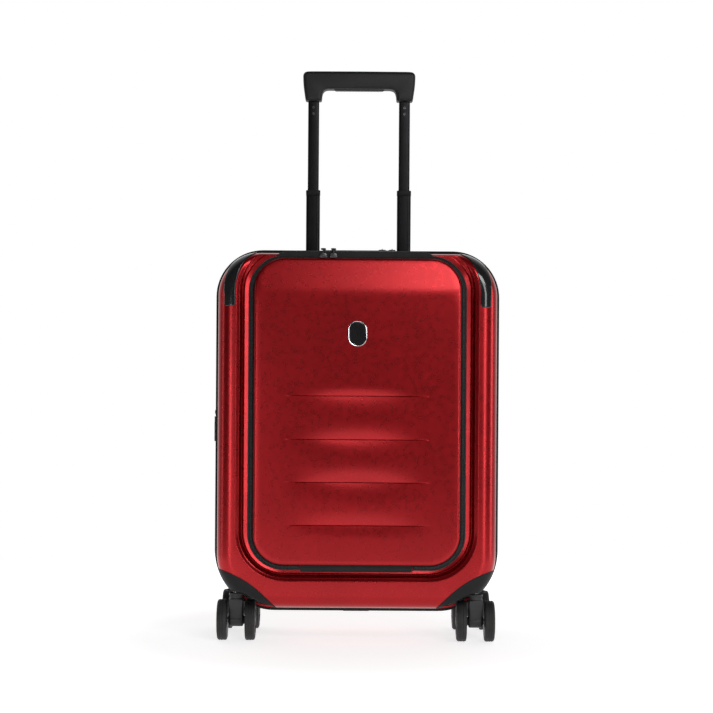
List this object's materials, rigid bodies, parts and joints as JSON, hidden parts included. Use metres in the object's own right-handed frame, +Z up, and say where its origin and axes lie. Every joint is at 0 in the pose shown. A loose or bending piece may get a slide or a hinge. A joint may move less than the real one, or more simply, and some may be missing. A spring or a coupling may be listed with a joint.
{
  "type": "hard-shell spinner suitcase",
  "caption": "Upright hard-shell cabin suitcase with a drop-down front access panel, zippered halves, an expansion band, a telescoping handle and swivelling twin casters.",
  "frame": {"origin": "on the floor under the middle of the case", "axes": "+X to the right of somebody facing the case, +Y towards its back, +Z up"},
  "size_m": [0.4039, 0.2011, 0.811],
  "materials": {
    "shell_red": "satin metallic red",
    "black_gloss": "gloss black",
    "dark_plastic": "satin dark grey",
    "grip_black": "satin black",
    "lock_grey": "satin grey",
    "tube_aluminium": "dark anodised",
    "steel": "bright",
    "slider_metal": "dark nickel",
    "black_fabric": "woven black tape",
    "lining_grey": "woven dark grey",
    "tyre_grey": "matt dark rubber"
  },
  "bodies": {
    "rear_half": {"rear_shell": "shell_red", "rear_wheel_housings": "dark_plastic", "rear_corner_guards": "black_gloss", "grip_well": "dark_plastic", "top_handle_well": "dark_plastic", "side_handle_well": "dark_plastic", "trolley_outer_tubes": "tube_aluminium", "rear_lining": "lining_grey", "expansion_zipper_rear": "black_fabric", "expansion_gusset": "black_fabric"},
    "expansion_frame": {"expansion_band": "black_fabric", "expansion_zipper_front": "black_fabric", "main_zipper_rear": "black_fabric", "main_hinge_strip": "black_fabric"},
    "front_half": {"front_shell": "shell_red", "main_zipper_front": "black_fabric", "front_corner_guards": "black_gloss", "front_wheel_housings": "dark_plastic", "lock_body": "lock_grey", "front_pocket": "lining_grey", "panel_hinge_strip": "black_fabric", "panel_zipper_outer": "black_fabric"},
    "access_panel": {"front_panel": "shell_red", "panel_zipper_inner": "black_fabric", "badge_plate": "black_gloss", "panel_lining": "lining_grey"},
    "handle_middle": {"trolley_middle_tubes": "tube_aluminium", "trolley_collars": "dark_plastic"},
    "handle_inner": {"trolley_inner_tubes": "tube_aluminium", "trolley_grip": "grip_black"},
    "handle_button": {"release_button": "grip_black", "release_rods": "steel"},
    "top_grab": {"top_handle": "grip_black"},
    "side_grab": {"side_handle": "grip_black"},
    "latch": {"lock_latch": "lock_grey"},
    "expansion_slide": {"expansion_slider": "slider_metal"},
    "expansion_tab": {"expansion_puller": "slider_metal"},
    "dial_1": {"lock_dial_1": "lock_grey"},
    "dial_2": {"lock_dial_2": "lock_grey"},
    "dial_3": {"lock_dial_3": "lock_grey"},
    "panel_slide_left": {"panel_slider_left": "slider_metal"},
    "panel_tab_left": {"panel_puller_left": "slider_metal"},
    "panel_slide_right": {"panel_slider_right": "slider_metal"},
    "panel_tab_right": {"panel_puller_right": "slider_metal"},
    "main_slide_left": {"main_slider_left": "slider_metal"},
    "main_tab_left": {"main_puller_left": "slider_metal"},
    "main_slide_right": {"main_slider_right": "slider_metal"},
    "main_tab_right": {"main_puller_right": "slider_metal"},
    "caster_front_left": {"caster_fork_front_left": "dark_plastic"},
    "roller_front_left_a": {"wheel_front_left_a": "tyre_grey"},
    "roller_front_left_b": {"wheel_front_left_b": "tyre_grey"},
    "caster_front_right": {"caster_fork_front_right": "dark_plastic"},
    "roller_front_right_a": {"wheel_front_right_a": "tyre_grey"},
    "roller_front_right_b": {"wheel_front_right_b": "tyre_grey"},
    "caster_rear_left": {"caster_fork_rear_left": "dark_plastic"},
    "roller_rear_left_a": {"wheel_rear_left_a": "tyre_grey"},
    "roller_rear_left_b": {"wheel_rear_left_b": "tyre_grey"},
    "caster_rear_right": {"caster_fork_rear_right": "dark_plastic"},
    "roller_rear_right_a": {"wheel_rear_right_a": "tyre_grey"},
    "roller_rear_right_b": {"wheel_rear_right_b": "tyre_grey"}
  },
  "joints": [
    {"name": "expansion", "type": "slide", "parent": "rear_half", "child": "expansion_frame", "axis": [0, -1, 0], "range_m": [0, 0.03]},
    {"name": "main_opening", "type": "hinge", "parent": "expansion_frame", "child": "front_half", "pos_m": [0.2003, -0.01425, 0.29], "axis": [0, 0, 1], "range_deg": [0, 180]},
    {"name": "panel_opening", "type": "hinge", "parent": "front_half", "child": "access_panel", "pos_m": [0, -0.088, 0.108], "axis": [1, 0, 0], "range_deg": [0, 90]},
    {"name": "handle_middle_slide", "type": "slide", "parent": "rear_half", "child": "handle_middle", "axis": [0, 0, 1], "range_m": [-0.135, 0.095]},
    {"name": "handle_inner_slide", "type": "slide", "parent": "handle_middle", "child": "handle_inner", "axis": [0, 0, 1], "range_m": [-0.127, 0.1]},
    {"name": "button_press", "type": "slide", "parent": "handle_inner", "child": "handle_button", "axis": [0, 0, 1], "range_m": [0, 0.004], "stiffness_N_per_m": 600, "springref_m": -0.004},
    {"name": "top_handle_lift", "type": "slide", "parent": "rear_half", "child": "top_grab", "axis": [0, 0, 1], "range_m": [0, 0.018], "stiffness_N_per_m": 80, "springref_m": -0.004},
    {"name": "side_handle_pull", "type": "slide", "parent": "rear_half", "child": "side_grab", "axis": [-1, 0, 0], "range_m": [0, 0.018], "stiffness_N_per_m": 80, "springref_m": -0.004},
    {"name": "latch_slide", "type": "slide", "parent": "front_half", "child": "latch", "axis": [-1, 0, 0], "range_m": [0, 0.006]},
    {"name": "expansion_slider_run", "type": "slide", "parent": "rear_half", "child": "expansion_slide", "axis": [0, 0, 1], "range_m": [-0.15, 0.15]},
    {"name": "expansion_puller_swing", "type": "hinge", "parent": "expansion_slide", "child": "expansion_tab", "pos_m": [-0.2029, 0.014, 0.3097], "axis": [0, 1, 0], "range_deg": [0, 110]},
    {"name": "dial_1_turn", "type": "hinge", "parent": "front_half", "child": "dial_1", "pos_m": [-0.014, -0.044, 0.5395], "axis": [1, 0, 0], "continuous": true},
    {"name": "dial_2_turn", "type": "hinge", "parent": "front_half", "child": "dial_2", "pos_m": [-0.006, -0.044, 0.5395], "axis": [1, 0, 0], "continuous": true},
    {"name": "dial_3_turn", "type": "hinge", "parent": "front_half", "child": "dial_3", "pos_m": [0.002, -0.044, 0.5395], "axis": [1, 0, 0], "continuous": true},
    {"name": "panel_slider_left_run", "type": "slide", "parent": "front_half", "child": "panel_slide_left", "axis": [1, 0, 0], "range_m": [-0.05, 0]},
    {"name": "panel_puller_left_lift", "type": "hinge", "parent": "panel_slide_left", "child": "panel_tab_left", "pos_m": [-0.048, -0.0907, 0.5461], "axis": [1, 0, 0], "range_deg": [0, 140]},
    {"name": "panel_slider_right_run", "type": "slide", "parent": "front_half", "child": "panel_slide_right", "axis": [1, 0, 0], "range_m": [0, 0.13]},
    {"name": "panel_puller_right_lift", "type": "hinge", "parent": "panel_slide_right", "child": "panel_tab_right", "pos_m": [-0.034, -0.0907, 0.5461], "axis": [1, 0, 0], "range_deg": [0, 140]},
    {"name": "main_slider_left_run", "type": "slide", "parent": "front_half", "child": "main_slide_left", "axis": [1, 0, 0], "range_m": [-0.16, 0]},
    {"name": "main_puller_left_lift", "type": "hinge", "parent": "main_slide_left", "child": "main_tab_left", "pos_m": [0.034, -0.0198, 0.5461], "axis": [-1, 0, 0], "range_deg": [0, 90]},
    {"name": "main_slider_right_run", "type": "slide", "parent": "front_half", "child": "main_slide_right", "axis": [1, 0, 0], "range_m": [0, 0.08]},
    {"name": "main_puller_right_lift", "type": "hinge", "parent": "main_slide_right", "child": "main_tab_right", "pos_m": [0.048, -0.0198, 0.5461], "axis": [-1, 0, 0], "range_deg": [0, 90]},
    {"name": "swivel_front_left", "type": "hinge", "parent": "front_half", "child": "caster_front_left", "pos_m": [-0.167, -0.06, 0.072], "axis": [0, 0, 1], "continuous": true},
    {"name": "roll_front_left_a", "type": "hinge", "parent": "caster_front_left", "child": "roller_front_left_a", "pos_m": [-0.167, -0.049, 0.0285], "axis": [1, 0, 0], "continuous": true},
    {"name": "roll_front_left_b", "type": "hinge", "parent": "caster_front_left", "child": "roller_front_left_b", "pos_m": [-0.167, -0.049, 0.0285], "axis": [1, 0, 0], "continuous": true},
    {"name": "swivel_front_right", "type": "hinge", "parent": "front_half", "child": "caster_front_right", "pos_m": [0.167, -0.06, 0.072], "axis": [0, 0, 1], "continuous": true},
    {"name": "roll_front_right_a", "type": "hinge", "parent": "caster_front_right", "child": "roller_front_right_a", "pos_m": [0.167, -0.049, 0.0285], "axis": [1, 0, 0], "continuous": true},
    {"name": "roll_front_right_b", "type": "hinge", "parent": "caster_front_right", "child": "roller_front_right_b", "pos_m": [0.167, -0.049, 0.0285], "axis": [1, 0, 0], "continuous": true},
    {"name": "swivel_rear_left", "type": "hinge", "parent": "rear_half", "child": "caster_rear_left", "pos_m": [-0.167, 0.06, 0.072], "axis": [0, 0, 1], "continuous": true},
    {"name": "roll_rear_left_a", "type": "hinge", "parent": "caster_rear_left", "child": "roller_rear_left_a", "pos_m": [-0.167, 0.071, 0.0285], "axis": [1, 0, 0], "continuous": true},
    {"name": "roll_rear_left_b", "type": "hinge", "parent": "caster_rear_left", "child": "roller_rear_left_b", "pos_m": [-0.167, 0.071, 0.0285], "axis": [1, 0, 0], "continuous": true},
    {"name": "swivel_rear_right", "type": "hinge", "parent": "rear_half", "child": "caster_rear_right", "pos_m": [0.167, 0.06, 0.072], "axis": [0, 0, 1], "continuous": true},
    {"name": "roll_rear_right_a", "type": "hinge", "parent": "caster_rear_right", "child": "roller_rear_right_a", "pos_m": [0.167, 0.071, 0.0285], "axis": [1, 0, 0], "continuous": true},
    {"name": "roll_rear_right_b", "type": "hinge", "parent": "caster_rear_right", "child": "roller_rear_right_b", "pos_m": [0.167, 0.071, 0.0285], "axis": [1, 0, 0], "continuous": true}
  ]
}
